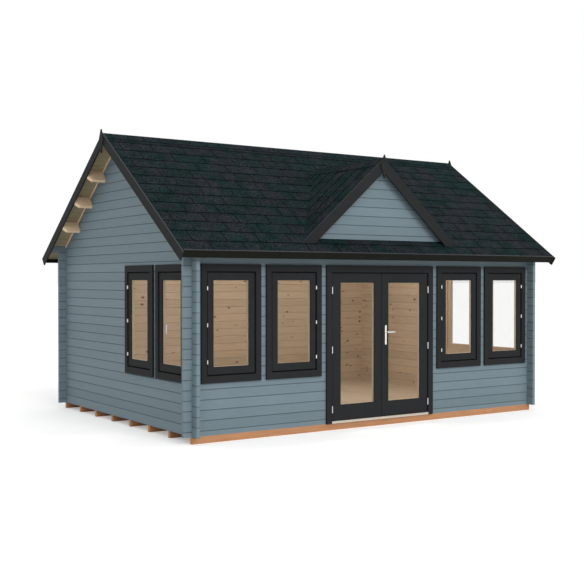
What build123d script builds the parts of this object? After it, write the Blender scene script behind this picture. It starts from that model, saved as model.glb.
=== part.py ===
from build123d import *
import math
import os

# Wooden garden house of interlocking logs, with a pitched shingle roof, a small front gablet,
# eight side-hung windows and a pair of glazed doors.
# Millimetres. X runs along the front, to the right seen from outside. Y runs to the back. Z is up.
# The origin is on the ground, under the middle of the plan.

# Plan and walls
house_depth = 3790.0
log_thickness = 44.0
log_cover = 114.0
log_end = 105.0
groove_half_width = 4.5
groove_depth = 4.0
wall_over_door = 200.0

# Ground timbers and floor
bearer_width = 45.0
bearer_height = 80.0
bearer_count = 8
floor_thickness = 19.0

# Main roof, its depths taken square to the slope, down from the top of the barge boards
roof_pitch = 35.27
top_log_height = 60.0
eaves_overhang = 243.0
gable_overhang = 243.0
board_thickness = 18.0
shingle_recess = 6.0
shingle_thickness = 6.0
roof_board_thickness = 18.0
barge_depth = 113.0
barge_tail = 10.0
fascia_height = 82.0
fascia_proud = 12.0
ridge_strip_width = 140.0
purlin_width = 45.0
purlin_depth = 145.0
purlin_chamfer = 45.0
first_purlin = 682.0
purlin_spacing = 533.0
purlins_per_slope = 3

# Kite-shaped finials
finial_thickness = 18.0
finial_width = 118.0
finial_above_ridge = 46.0
finial_shoulder = 125.0
finial_length = 298.0

# Front gablet
gablet_pitch = 41.15
gablet_rise = 1119.0
gablet_overhang = 57.0
gablet_board = 28.0
gablet_setback = 30.0
gablet_barge_depth = 127.0

# Windows
window_width = 776.0
window_height = 1321.0
window_trim_side = 70.0
window_trim_head = 80.0
window_gap = 71.0
window_to_door = 74.0
window_to_corner = 106.0
gable_window_gap = 76.0
gable_window_corner = 88.0
sash_gap = 14.0
sash_stile = 75.0
sash_rail = 82.0

# Joinery shared by windows and doors
trim_proud = 24.0
jamb_thickness = 30.0
leaf_setback = 13.0
leaf_thickness = 42.0
stop_lap = 15.0
glass_setback = 8.0
glass_thickness = 4.0
glass_rebate = 10.0

# Window fittings
window_hinge_height = 42.0
window_hinge_from_bottom = 236.0
window_hinge_from_top = 267.0
wing_thickness = 3.0
wing_depth = 20.0
hinge_axis_setback = 4.0
window_handle_height = 616.0
handle_plate_width = 26.0
handle_plate_height = 110.0
handle_plate_thickness = 8.0
grip_length = 105.0
grip_width = 16.0
grip_thickness = 12.0
grip_standoff = 24.0

# Doors
door_width = 1684.0
door_height = 1902.0
door_trim_side = 78.0
door_trim_head = 85.0
door_gap = 12.0
meeting_gap = 6.0
meeting_bevel = 4.0
stop_clearance = 5.0
threshold_height = 28.0
leaf_bottom_gap = 5.0
leaf_hinge_stile = 125.0
leaf_meeting_stile = 110.0
leaf_top_rail = 110.0
leaf_bottom_rail = 182.0

# Door fittings
door_hinge_height = 83.0
door_hinge_split = 1.0
door_hinge_from_bottom = 169.0
door_hinge_from_top = 301.0
hinge_pin_radius = 3.5
hinge_pin_length = 30.0
running_clearance = 0.05
backplate_width = 26.0
backplate_height = 243.0
backplate_thickness = 8.0
backplate_bottom = 921.0
lever_height = 1078.0
lever_from_edge = 63.0
lever_length = 113.0
lever_radius = 8.0
lever_standoff = 42.0
spindle_radius = 5.0
spindle_bore_radius = 7.0

# Worked out from the sizes above
house_length = door_width + 2 * (window_to_door + 2 * window_width + window_gap + window_to_corner)
wall_logs = math.ceil((door_height + wall_over_door) / log_cover - 0.5)
x_out = house_length / 2
y_out = house_depth / 2
x_in = x_out - log_thickness
y_in = y_out - log_thickness
base = bearer_height
top_log_z = base + (wall_logs + 0.5) * log_cover
roof_slope = math.tan(math.radians(roof_pitch))
roof_sin = math.sin(math.radians(roof_pitch))
roof_cos = math.cos(math.radians(roof_pitch))
shingle_bottom = shingle_recess + shingle_thickness
board_bottom = shingle_bottom + roof_board_thickness
ridge_z = top_log_z + top_log_height + board_bottom / roof_cos + roof_slope * y_out
x_barge = x_out + gable_overhang
x_roof = x_barge - board_thickness
y_fascia = y_out + eaves_overhang
slope_length = y_fascia / roof_cos
slab_length = slope_length - board_thickness
gablet_ridge_z = top_log_z + gablet_rise
gablet_slope = math.tan(math.radians(gablet_pitch))
gablet_cos = math.cos(math.radians(gablet_pitch))
gablet_front = -y_out - gablet_overhang
leaf_face = leaf_setback - trim_proud
leaf_back = leaf_face + leaf_thickness
hinge_axis_y = hinge_axis_setback - trim_proud
door_cut_half = door_width / 2 - door_trim_side + jamb_thickness
door_cut_top = door_height - door_trim_head + jamb_thickness
window_cut_width = window_width - 2 * (window_trim_side - jamb_thickness)
window_cut_height = window_height - 2 * (window_trim_head - jamb_thickness)
window_middle = door_height - window_height / 2
front_window_inner = door_width / 2 + window_to_door + window_width / 2
front_window_outer = front_window_inner + window_width + window_gap
gable_window_near = y_out - gable_window_corner - window_width / 2
gable_window_far = gable_window_near - window_width - gable_window_gap


# Basic shapes

def block(x0, x1, y0, y1, z0, z1):
    """A box between two corners."""
    middle = ((x0 + x1) / 2, (y0 + y1) / 2, (z0 + z1) / 2)
    return Pos(*middle) * Box(x1 - x0, y1 - y0, z1 - z0)


def prism_along_x(points, x0, x1):
    """A prism with a (y, z) outline, from x0 to x1."""
    outline = Plane.YZ.offset(x0) * Polygon(*points, align=None)
    return extrude(outline, amount=x1 - x0, dir=(1, 0, 0))


def prism_along_y(points, y0, y1):
    """A prism with an (x, z) outline, from y0 to y1."""
    outline = Plane.XZ.offset(-y0) * Polygon(*points, align=None)
    return extrude(outline, amount=y1 - y0, dir=(0, 1, 0))


def ring(outer_width, outer_height, inner_width, inner_height, y0, y1):
    """A rectangular ring standing in the XZ plane, centred on the origin."""
    outer = block(-outer_width / 2, outer_width / 2, y0, y1, -outer_height / 2, outer_height / 2)
    inner = block(-inner_width / 2, inner_width / 2, y0, y1, -inner_height / 2, inner_height / 2)
    return outer - inner


def solids_of(shape):
    """The separate solids of a shape, as a plain list."""
    return list(shape.solids())


# Log walls

def grooved_face(face, inward, z_low, z_high, joints):
    """The points up one wall face, with a V groove at each log joint."""
    points = []
    if z_low not in joints:
        points.append((face, z_low))
    for joint in joints:
        if joint - groove_half_width > z_low:
            points.append((face, joint - groove_half_width))
        points.append((face + inward * groove_depth, joint))
        if joint + groove_half_width < z_high:
            points.append((face, joint + groove_half_width))
    if z_high not in joints:
        points.append((face, z_high))
    return points


def log_section(face_a, face_b, z_low, top_a, top_b, joints):
    """The cross-section of a log wall between two faces, with grooves on both."""
    up = grooved_face(face_a, 1, z_low, top_a, [z for z in joints if z_low <= z <= top_a])
    down = grooved_face(face_b, -1, z_low, top_b, [z for z in joints if z_low <= z <= top_b])
    return up + down[::-1]


def front_joints():
    """Heights of the joints in the front and back walls, which start with a half log."""
    return [base + (number + 0.5) * log_cover for number in range(wall_logs + 1)]


def gable_joints(z_high):
    """Heights of the joints in the gable walls and the gablet, which start with a whole log."""
    count = int((z_high - base) / log_cover)
    return [base + number * log_cover for number in range(1, count + 1)]


def crossing_notches(shift, x_side, y_side):
    """Half-lap notches of one wall at the corner where it crosses another."""
    x0, x1 = sorted((x_side * x_in, x_side * x_out))
    y0, y1 = sorted((y_side * y_in, y_side * y_out))
    notches = []
    for number in range(wall_logs + 1):
        z0 = base + (number + shift) * log_cover
        notches.append(block(x0, x1, y0, y1, z0, z0 + log_cover / 2))
    if shift < 0:
        z0 = base + (wall_logs + 1 + shift) * log_cover
        notches.append(block(x0, x1, y0, y1, z0, ridge_z))
    return notches


def long_wall(x0, x1, z_low, z_high):
    """A stretch of the front wall under its top log."""
    section = log_section(-y_out, -y_in, z_low, z_high, z_high, front_joints())
    return prism_along_x(section, x0, x1)


def front_window_cuts():
    """Openings for the four front windows."""
    cuts = []
    for x in (-front_window_outer, -front_window_inner, front_window_inner, front_window_outer):
        cuts.append(block(x - window_cut_width / 2, x + window_cut_width / 2, -y_out, -y_in,
                          base + window_middle - window_cut_height / 2,
                          base + window_middle + window_cut_height / 2))
    return cuts


def front_wall_left():
    """Front wall from the left corner to the doorway, with two window openings."""
    wall = long_wall(-x_out - log_end, -door_cut_half, base, top_log_z)
    return wall - crossing_notches(0.25, -1, -1) - front_window_cuts()[:2]


def front_wall_over_door():
    """The logs that bridge the doorway, under the top log."""
    return long_wall(-door_cut_half, door_cut_half, base + door_cut_top, top_log_z)


def back_wall():
    """The back wall, plain logs from corner to corner."""
    wall = long_wall(-x_out - log_end, x_out + log_end, base, top_log_z)
    wall = wall - crossing_notches(0.25, -1, -1) - crossing_notches(0.25, 1, -1)
    return mirror(wall, about=Plane.XZ)


def front_top_log():
    """The top log under the front eaves, which runs out to the barge boards."""
    section = log_section(-y_out, -y_in, top_log_z, roof_z(y_out, board_bottom),
                          roof_z(y_in, board_bottom), front_joints())
    log = prism_along_x(section, -x_roof, x_roof)
    for side in (-1, 1):
        corner = [(side * x_roof, top_log_z), (side * (x_roof - purlin_chamfer), top_log_z),
                  (side * x_roof, top_log_z + purlin_chamfer)]
        log = log - prism_along_y(corner, -y_out, -y_in)
    return log - crossing_notches(0.25, -1, -1) - crossing_notches(0.25, 1, -1)


def left_gable_wall(purlins):
    """The left gable wall, up to the roof boards, with two windows and notches for the purlins."""
    joints = gable_joints(roof_z(0, board_bottom))
    section = log_section(-x_out, -x_in, base, ridge_z, ridge_z, joints)
    wall = prism_along_y(section, -y_out - log_end, y_out + log_end)
    outline = [(-y_out - log_end, base), (y_out + log_end, base),
               (y_out + log_end, roof_z(y_out + log_end, board_bottom)),
               (0, roof_z(0, board_bottom)),
               (-y_out - log_end, roof_z(y_out + log_end, board_bottom))]
    wall = wall & prism_along_x(outline, -x_out, -x_in)
    wall = wall - crossing_notches(-0.25, -1, -1) - crossing_notches(-0.25, -1, 1)
    for y in (-gable_window_near, -gable_window_far):
        wall = wall - block(-x_out, -x_in, y - window_cut_width / 2, y + window_cut_width / 2,
                            base + window_middle - window_cut_height / 2,
                            base + window_middle + window_cut_height / 2)
    return wall - purlins


# Ground timbers and floor

def floor_bearers():
    """Treated timbers under the walls and floor, the first and last flush with the long walls."""
    pitch = (house_depth - bearer_width) / (bearer_count - 1)
    timbers = []
    for number in range(bearer_count):
        y = -y_out + number * pitch
        timbers.append(block(-x_out, x_out, y, y + bearer_width, 0, bearer_height))
    return timbers


def floor_boards():
    """The floor inside the walls, on the bearers."""
    return block(-x_in, x_in, -y_in, y_in, base, base + floor_thickness)


# Main roof

def roof_z(y, depth):
    """Height of the roof plane that lies a depth under the top of the barge boards."""
    return ridge_z - depth / roof_cos - roof_slope * abs(y)


def slope_point(along, depth):
    """A point of the back slope, from its distance down the slope and its depth."""
    return (along * roof_cos - depth * roof_sin, ridge_z - along * roof_sin - depth * roof_cos)


def back_slab(depth_a, depth_b):
    """A layer of the back slope, from the ridge to the fascia, its lower end cut square."""
    outline = [(0, roof_z(0, depth_a)), slope_point(slab_length, depth_a),
               slope_point(slab_length, depth_b), (0, roof_z(0, depth_b))]
    return prism_along_x(outline, -x_roof, x_roof)


def ridge_shingles():
    """The folded strip of shingles over the ridge."""
    edge = ridge_strip_width * roof_cos
    outline = [(0, roof_z(0, 0)), (edge, roof_z(edge, 0)), (edge, roof_z(edge, shingle_recess)),
               (0, roof_z(0, shingle_recess)), (-edge, roof_z(edge, shingle_recess)),
               (-edge, roof_z(edge, 0))]
    return prism_along_x(outline, -x_roof, x_roof)


def back_purlins():
    """Purlins set square to the back slope, their lower outer corners cut off."""
    side_outline = [(-x_roof, board_bottom), (x_roof, board_bottom),
                    (x_roof, board_bottom + purlin_depth - purlin_chamfer),
                    (x_roof - purlin_chamfer, board_bottom + purlin_depth),
                    (purlin_chamfer - x_roof, board_bottom + purlin_depth),
                    (-x_roof, board_bottom + purlin_depth - purlin_chamfer)]
    purlins = []
    for number in range(purlins_per_slope):
        y, z = slope_point(first_purlin + number * purlin_spacing, 0)
        down = (0, roof_cos, -roof_sin)
        frame = Plane(origin=(0, y, z), x_dir=(1, 0, 0), z_dir=down)
        face = frame * Polygon(*side_outline, align=None)
        purlins.append(extrude(face, amount=purlin_width, dir=down))
    return purlins


def barge_board():
    """The left barge board of the back slope, its lower end cut square."""
    end = (y_fascia + barge_tail) / roof_cos
    outline = [(0, ridge_z), slope_point(end, 0), slope_point(end, barge_depth),
               (0, roof_z(0, barge_depth))]
    return prism_along_x(outline, -x_barge, -x_roof)


def back_fascia():
    """The board along the back eaves, square to the slope and proud of the shingles."""
    outline = [slope_point(slab_length, -fascia_proud), slope_point(slope_length, -fascia_proud),
               slope_point(slope_length, fascia_height), slope_point(slab_length, fascia_height)]
    return prism_along_x(outline, -x_roof, x_roof)


def finial_outline(ridge_top):
    """The kite outline of a finial at a ridge, as (width, height) points."""
    tip = ridge_top + finial_above_ridge
    return [(0, tip), (finial_width / 2, tip - finial_shoulder), (0, tip - finial_length),
            (-finial_width / 2, tip - finial_shoulder)]


# Front gablet

def roof_bulk():
    """Everything under the top of the main shingles, which cuts what stands on the roof."""
    top = roof_z(0, shingle_recess)
    edge = roof_z(y_fascia, shingle_recess)
    outline = [(-y_fascia, 0), (-y_fascia, edge), (0, top), (y_fascia, edge), (y_fascia, 0)]
    return prism_along_x(outline, -x_out, x_out)


def gablet_z(x, depth):
    """Height of the gablet's roof plane that lies a depth under its barge tops."""
    return gablet_ridge_z - depth / gablet_cos - gablet_slope * abs(x)


def gablet_slab(depth_a, depth_b, y0, y1):
    """A layer of the gablet's left slope, cut off where it meets the main roof."""
    foot = (gablet_ridge_z - top_log_z) / gablet_slope
    outline = [(0, gablet_z(0, depth_a)), (0, gablet_z(0, depth_b)),
               (-foot, gablet_z(foot, depth_b)), (-foot, gablet_z(foot, depth_a))]
    return prism_along_y(outline, y0, y1) - roof_bulk()


def gablet_back():
    """Where the gablet's ridge runs into the main roof."""
    return -(ridge_z - gablet_ridge_z) / roof_slope


def gablet_face():
    """The boarded triangle of the gablet, a little behind the front wall's face."""
    foot = (gablet_ridge_z - top_log_z) / gablet_slope
    top = gablet_z(0, board_bottom)
    face = gablet_setback - y_out
    section = log_section(face, face + gablet_board, top_log_z, ridge_z, ridge_z,
                          [z for z in gable_joints(top) if z > top_log_z + log_cover / 2])
    panel = prism_along_x(section, -foot, foot)
    triangle = [(0, top), (-foot, gablet_z(foot, board_bottom)), (foot, gablet_z(foot, board_bottom))]
    return (panel & prism_along_y(triangle, face, face + gablet_board)) - roof_bulk()


def gablet_ridge_shingles():
    """The folded strip of shingles over the gablet's ridge."""
    edge = ridge_strip_width * gablet_cos
    outline = [(0, gablet_z(0, 0)), (edge, gablet_z(edge, 0)),
               (edge, gablet_z(edge, shingle_recess)), (0, gablet_z(0, shingle_recess)),
               (-edge, gablet_z(edge, shingle_recess)), (-edge, gablet_z(edge, 0))]
    strip = prism_along_y(outline, gablet_front + board_thickness, gablet_back())
    return strip - roof_bulk()


# Windows, each centred on the origin with the wall's outer face on y = 0 and outside at -y

def window_frame():
    """Outer trim, lining through the wall and the stop behind the sash, in one piece."""
    inner_width = window_width - 2 * window_trim_side
    inner_height = window_height - 2 * window_trim_head
    lap = sash_gap + stop_lap
    trim = ring(window_width, window_height, inner_width, inner_height, -trim_proud, 0)
    lining = ring(window_cut_width, window_cut_height, inner_width, inner_height, 0, log_thickness)
    stop = ring(window_cut_width, window_cut_height, inner_width - 2 * lap, inner_height - 2 * lap,
                leaf_back, log_thickness)
    return trim + lining + stop


def sash_size():
    """Outer width and height of a sash."""
    return (window_width - 2 * (window_trim_side + sash_gap),
            window_height - 2 * (window_trim_head + sash_gap))


def window_sash():
    """The sash, with a groove for its glass."""
    width, height = sash_size()
    sight_width = width - 2 * sash_stile
    sight_height = height - 2 * sash_rail
    body = ring(width, height, sight_width, sight_height, leaf_face, leaf_back)
    return body - window_glass()


def window_glass():
    """The pane, held in the sash's groove."""
    width, height = sash_size()
    half_width = width / 2 - sash_stile + glass_rebate
    half_height = height / 2 - sash_rail + glass_rebate
    y0 = leaf_face + glass_setback
    return block(-half_width, half_width, y0, y0 + glass_thickness, -half_height, half_height)


def window_hinges(side):
    """Three hinge knuckles in the gap at one side, each with a wing on the sash's edge."""
    edge = sash_size()[0] / 2
    axis_x = edge + sash_gap / 2
    low = window_hinge_from_bottom - window_height / 2
    high = window_height / 2 - window_hinge_from_top
    hinges = []
    for z in (low, (low + high) / 2, high):
        barrel = Pos(side * axis_x, hinge_axis_y, z) * Cylinder(sash_gap / 2, window_hinge_height)
        x0, x1 = sorted((side * edge, side * (edge + wing_thickness)))
        wing = block(x0, x1, hinge_axis_y, leaf_face + wing_depth,
                     z - window_hinge_height / 2, z + window_hinge_height / 2)
        hinges.append(barrel + wing)
    return hinges


def window_handle(side):
    """The turning handle inside, on the stile away from the hinges, its grip hanging down."""
    x = -side * (sash_size()[0] / 2 - sash_stile / 2)
    z = window_handle_height - window_height / 2
    plate_back = leaf_back + handle_plate_thickness
    grip_back = plate_back + grip_standoff
    plate = block(x - handle_plate_width / 2, x + handle_plate_width / 2, leaf_back, plate_back,
                  z - handle_plate_height / 2, z + handle_plate_height / 2)
    neck = block(x - grip_width / 2, x + grip_width / 2, plate_back, grip_back,
                 z - grip_width / 2, z + grip_width / 2)
    grip = block(x - grip_width / 2, x + grip_width / 2, grip_back - grip_thickness, grip_back,
                 z + grip_width / 2 - grip_length, z + grip_width / 2)
    return plate + neck + grip


def window_places():
    """Where each window stands and which side its hinges are on."""
    z = base + window_middle
    front_x = (-front_window_outer, -front_window_inner, front_window_inner, front_window_outer)
    places = [(Location((x, -y_out, z)), side) for x, side in zip(front_x, (-1, 1, -1, 1))]
    for y, side in ((-gable_window_far, -1), (-gable_window_near, 1)):
        places.append((Location((-x_out, y, z), (0, 0, -90)), side))
    for y, side in ((-gable_window_near, -1), (-gable_window_far, 1)):
        places.append((Location((x_out, y, z), (0, 0, 90)), side))
    return places


# Doors, drawn with the wall's outer face on y = 0 and the walls' underside on z = 0

def portal(half_outer, top_outer, half_inner, top_inner, y0, y1):
    """Two posts and a head round a doorway."""
    outer = block(-half_outer, half_outer, y0, y1, 0, top_outer)
    return outer - block(-half_inner, half_inner, y0, y1, 0, top_inner)


def door_frame():
    """Outer trim, lining and the stop behind the leaves."""
    half_inner = door_width / 2 - door_trim_side
    top_inner = door_height - door_trim_head
    lap = door_gap + stop_lap
    trim = portal(door_width / 2, door_height, half_inner, top_inner, -trim_proud, 0)
    lining = portal(door_cut_half, door_cut_top, half_inner, top_inner, 0, log_thickness)
    stop = portal(door_cut_half, door_cut_top, half_inner - lap, top_inner - lap,
                  leaf_back + stop_clearance, log_thickness)
    return trim + lining + stop - door_threshold()


def door_threshold():
    """The sill between the posts, under the leaves."""
    half_inner = door_width / 2 - door_trim_side
    return block(-half_inner, half_inner, -trim_proud, log_thickness, 0, threshold_height)


def leaf_limits():
    """Hinge edge, meeting edge, bottom and top of the right leaf."""
    hinge_edge = door_width / 2 - door_trim_side - door_gap
    top = door_height - door_trim_head - door_gap
    return meeting_gap / 2, hinge_edge, threshold_height + leaf_bottom_gap, top


def door_leaf():
    """The right leaf, its meeting edge bevelled so that it swings clear."""
    meet, edge, low, top = leaf_limits()
    outline = [(meet, leaf_face), (edge, leaf_face), (edge, leaf_back),
               (meet + meeting_bevel, leaf_back)]
    plan = Plane.XY.offset(low) * Polygon(*outline, align=None)
    body = extrude(plan, amount=top - low, dir=(0, 0, 1))
    sight = block(meet + leaf_meeting_stile, edge - leaf_hinge_stile, leaf_face, leaf_back,
                  low + leaf_bottom_rail, top - leaf_top_rail)
    return body - sight - door_glass()


def door_glass():
    """The right leaf's pane, held in its groove."""
    meet, edge, low, top = leaf_limits()
    y0 = leaf_face + glass_setback
    return block(meet + leaf_meeting_stile - glass_rebate, edge - leaf_hinge_stile + glass_rebate,
                 y0, y0 + glass_thickness, low + leaf_bottom_rail - glass_rebate,
                 top - leaf_top_rail + glass_rebate)


def door_hinge_halves():
    """Lower halves with their pins on the frame, and upper halves on the right leaf."""
    edge = leaf_limits()[1]
    axis_x = edge + door_gap / 2
    half = (door_hinge_height - door_hinge_split) / 2
    wing_back = leaf_face + wing_depth
    lowest = door_hinge_from_bottom
    highest = door_height - door_hinge_from_top
    frame_halves = []
    leaf_halves = []
    for z in (lowest, (lowest + highest) / 2, highest):
        low = z - door_hinge_height / 2
        high = z + door_hinge_split / 2
        lower = Pos(axis_x, hinge_axis_y, low + half / 2) * Cylinder(door_gap / 2, half)
        pin = Pos(axis_x, hinge_axis_y, low + half + hinge_pin_length / 2) * Cylinder(
            hinge_pin_radius, hinge_pin_length)
        frame_wing = block(edge + door_gap - wing_thickness, edge + door_gap, hinge_axis_y,
                           wing_back, low, low + half)
        frame_halves.append(lower + pin + frame_wing)
        upper = Pos(axis_x, hinge_axis_y, high + half / 2) * Cylinder(door_gap / 2, half)
        leaf_wing = block(edge, edge + wing_thickness, hinge_axis_y, wing_back, high, high + half)
        bore = Pos(axis_x, hinge_axis_y, high + hinge_pin_length / 2) * Cylinder(
            hinge_pin_radius + running_clearance, hinge_pin_length)
        leaf_halves.append(upper + leaf_wing - bore)
    return frame_halves, leaf_halves


def cylinder_along_y(radius, x, z, y0, y1):
    """A round bar along Y."""
    return Pos(x, (y0 + y1) / 2, z) * Rot(90, 0, 0) * Cylinder(radius, y1 - y0)


def lever_place():
    """Position of the spindle on the right leaf."""
    return leaf_limits()[0] + lever_from_edge, lever_height


def backplates():
    """The long plates with round ends under the lever, outside and inside, bored for it."""
    x, z = lever_place()
    end = backplate_width / 2
    low = backplate_bottom + end
    high = backplate_bottom + backplate_height - end
    plates = []
    for y0, y1 in ((leaf_face - backplate_thickness, leaf_face),
                   (leaf_back, leaf_back + backplate_thickness)):
        plate = block(x - end, x + end, y0, y1, low, high)
        plate += cylinder_along_y(end, x, low, y0, y1) + cylinder_along_y(end, x, high, y0, y1)
        plates.append(plate - cylinder_along_y(lever_radius + running_clearance, x, z, y0, y1))
    return plates


def door_lever():
    """Both levers on their spindle, pointing away from the meeting edge."""
    x, z = lever_place()
    outer = leaf_face - backplate_thickness - lever_standoff
    inner = leaf_back + backplate_thickness + lever_standoff
    lever = cylinder_along_y(spindle_radius, x, z, leaf_face, leaf_back)
    lever += cylinder_along_y(lever_radius, x, z, outer, leaf_face)
    lever += cylinder_along_y(lever_radius, x, z, leaf_back, inner)
    for y in (outer, inner):
        lever += Pos(x + lever_length / 2, y, z) * Rot(0, 90, 0) * Cylinder(lever_radius, lever_length)
        lever += Pos(x, y, z) * Sphere(lever_radius)
        lever += Pos(x + lever_length, y, z) * Sphere(lever_radius)
    return lever


def right_leaf_with_bore():
    """The right leaf, bored for the spindle."""
    x, z = lever_place()
    return door_leaf() - cylinder_along_y(spindle_bore_radius, x, z, leaf_face, leaf_back)


# The whole house

def mirrored(shapes, plane):
    """Mirrored copies of several shapes."""
    return [mirror(shape, about=plane) for shape in shapes]


def build_house():
    """Every node's name and its solids."""
    purlins = back_purlins()
    all_purlins = purlins + mirrored(purlins, Plane.XZ)
    left_wall = left_gable_wall(all_purlins)
    wall_left = front_wall_left()
    top_log = front_top_log()
    barge = barge_board()
    fascia = back_fascia()
    boards = back_slab(shingle_bottom, board_bottom)
    shingles = back_slab(shingle_recess, shingle_bottom)
    gablet_start = gablet_front + board_thickness
    gablet_boards = gablet_slab(shingle_bottom, board_bottom, gablet_start, 0)
    gablet_shingles = gablet_slab(shingle_recess, shingle_bottom, gablet_start, 0)
    gablet_barge = gablet_slab(0, gablet_barge_depth, gablet_front, gablet_start)
    left_finial = prism_along_x(finial_outline(ridge_z), -x_barge - finial_thickness, -x_barge)
    gablet_finial = prism_along_y(finial_outline(gablet_ridge_z), gablet_front - finial_thickness,
                                  gablet_front)
    nodes = {
        "floor_bearers": floor_bearers(),
        "floor_boards": [floor_boards()],
        "front_wall_left": [wall_left],
        "front_wall_right": mirrored([wall_left], Plane.YZ),
        "front_wall_over_door": [front_wall_over_door()],
        "front_top_log": [top_log],
        "back_wall": [back_wall()],
        "back_top_log": mirrored([top_log], Plane.XZ),
        "left_gable_wall": [left_wall],
        "right_gable_wall": mirrored([left_wall], Plane.YZ),
        "roof_purlins": all_purlins,
        "roof_boards_front": mirrored([boards], Plane.XZ),
        "roof_boards_back": [boards],
        "shingles_front": mirrored([shingles], Plane.XZ),
        "shingles_back": [shingles],
        "ridge_shingles": [ridge_shingles()],
        "fascia_front": mirrored([fascia], Plane.XZ),
        "fascia_back": [fascia],
        "barge_board_left_back": [barge],
        "barge_board_left_front": mirrored([barge], Plane.XZ),
        "barge_board_right_back": mirrored([barge], Plane.YZ),
        "barge_board_right_front": mirrored(mirrored([barge], Plane.XZ), Plane.YZ),
        "gable_finials": [left_finial] + mirrored([left_finial], Plane.YZ),
        "gablet_face": [gablet_face()],
        "gablet_boards_left": [gablet_boards],
        "gablet_boards_right": mirrored([gablet_boards], Plane.YZ),
        "gablet_shingles_left": [gablet_shingles],
        "gablet_shingles_right": mirrored([gablet_shingles], Plane.YZ),
        "gablet_ridge_shingles": [gablet_ridge_shingles()],
        "gablet_barge_left": [gablet_barge],
        "gablet_barge_right": mirrored([gablet_barge], Plane.YZ),
        "gablet_finial": [gablet_finial],
    }
    nodes.update(window_nodes())
    nodes.update(door_nodes())
    return nodes


def window_nodes():
    """The windows of all three walls."""
    frame = window_frame()
    sash = window_sash()
    glass = window_glass()
    places = window_places()
    return {
        "window_frames": [place * frame for place, side in places],
        "window_sashes": [place * sash for place, side in places],
        "window_glass": [place * glass for place, side in places],
        "window_hinges": [place * hinge for place, side in places for hinge in window_hinges(side)],
        "window_handles": [place * window_handle(side) for place, side in places],
    }


def door_nodes():
    """The doorway, its two leaves and their fittings."""
    frame_halves, leaf_halves = door_hinge_halves()
    local = {
        "door_frame": [door_frame()],
        "door_threshold": [door_threshold()],
        "door_frame_hinges": frame_halves + mirrored(frame_halves, Plane.YZ),
        "left_door_leaf": mirrored([door_leaf()], Plane.YZ),
        "left_door_glass": mirrored([door_glass()], Plane.YZ),
        "left_door_hinges": mirrored(leaf_halves, Plane.YZ),
        "right_door_leaf": [right_leaf_with_bore()],
        "right_door_glass": [door_glass()],
        "right_door_hinges": leaf_halves,
        "handle_backplates": backplates(),
        "door_lever": [door_lever()],
    }
    place = Location((0, -y_out, base))
    return {name: [place * shape for shape in shapes] for name, shapes in local.items()}


def write_node(name, shapes):
    """One STEP file for a node, holding all its solids."""
    solids = [solid for shape in shapes for solid in solids_of(shape)]
    whole = solids[0] if len(solids) == 1 else Compound(children=solids)
    export_step(whole, os.path.join("parts", name + ".step"))


os.makedirs("parts", exist_ok=True)
for node_name, node_shapes in build_house().items():
    write_node(node_name, node_shapes)
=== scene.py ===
"""Looks of a wooden garden house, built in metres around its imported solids."""

import logging
import math
import random
from dataclasses import dataclass
from enum import Enum
from functools import cached_property
from typing import Iterator, Optional, Protocol, Sequence

import bmesh
import bpy
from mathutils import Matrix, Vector


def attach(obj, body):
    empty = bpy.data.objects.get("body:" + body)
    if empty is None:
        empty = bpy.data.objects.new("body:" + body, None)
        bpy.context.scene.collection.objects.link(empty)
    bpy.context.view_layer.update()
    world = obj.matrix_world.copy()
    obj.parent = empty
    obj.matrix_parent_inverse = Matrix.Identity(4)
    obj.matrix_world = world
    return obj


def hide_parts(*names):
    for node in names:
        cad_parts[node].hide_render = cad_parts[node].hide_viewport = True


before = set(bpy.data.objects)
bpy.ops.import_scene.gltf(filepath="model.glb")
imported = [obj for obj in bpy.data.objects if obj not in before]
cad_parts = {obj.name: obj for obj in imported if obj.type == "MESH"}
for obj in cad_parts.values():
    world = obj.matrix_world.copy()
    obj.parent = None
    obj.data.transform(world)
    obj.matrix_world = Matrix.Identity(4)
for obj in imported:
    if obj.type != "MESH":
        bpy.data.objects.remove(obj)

Material = bpy.types.Material
Socket = bpy.types.NodeSocket
Point = tuple[float, float]
Colour = tuple[float, float, float]
Limit = tuple[float, float, float]
WHITE = (1.0, 1.0, 1.0, 1.0)
RIGHT, BACK, UP = Vector((1, 0, 0)), Vector((0, 1, 0)), Vector((0, 0, 1))
LOG = logging.getLogger("garden_house")


class Body(Enum):
    """The bodies that pieces ride on."""

    HOUSE = "house"
    LEFT_LEAF = "left_leaf"
    RIGHT_LEAF = "right_leaf"
    LEVER = "lever"


class Slot(Enum):
    """The record's material slots, named for the added pieces."""

    DARK = "dark_paint"
    PINE = "bare_pine"
    SHINGLE = "shingle"
    SILVER = "silver_metal"


class Axis(Enum):
    """A direction of the shared frame."""

    X = 0
    Y = 1
    Z = 2


def srgb(colour: Sequence[float]) -> tuple[float, float, float, float]:
    """A colour for a shader socket.

    Args:
        colour: Red, green and blue as they show on a screen, 0 to 255.

    Returns:
        The same colour as linear red, green, blue and an alpha of 1.
    """
    def linear(value: float) -> float:
        """One channel, made linear."""
        share = value / 255
        return share / 12.92 if share <= 0.04045 else ((share + 0.055) / 1.055) ** 2.4

    red, green, blue = map(linear, colour)
    return red, green, blue, 1.0


# Sizes shared with the solids

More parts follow.
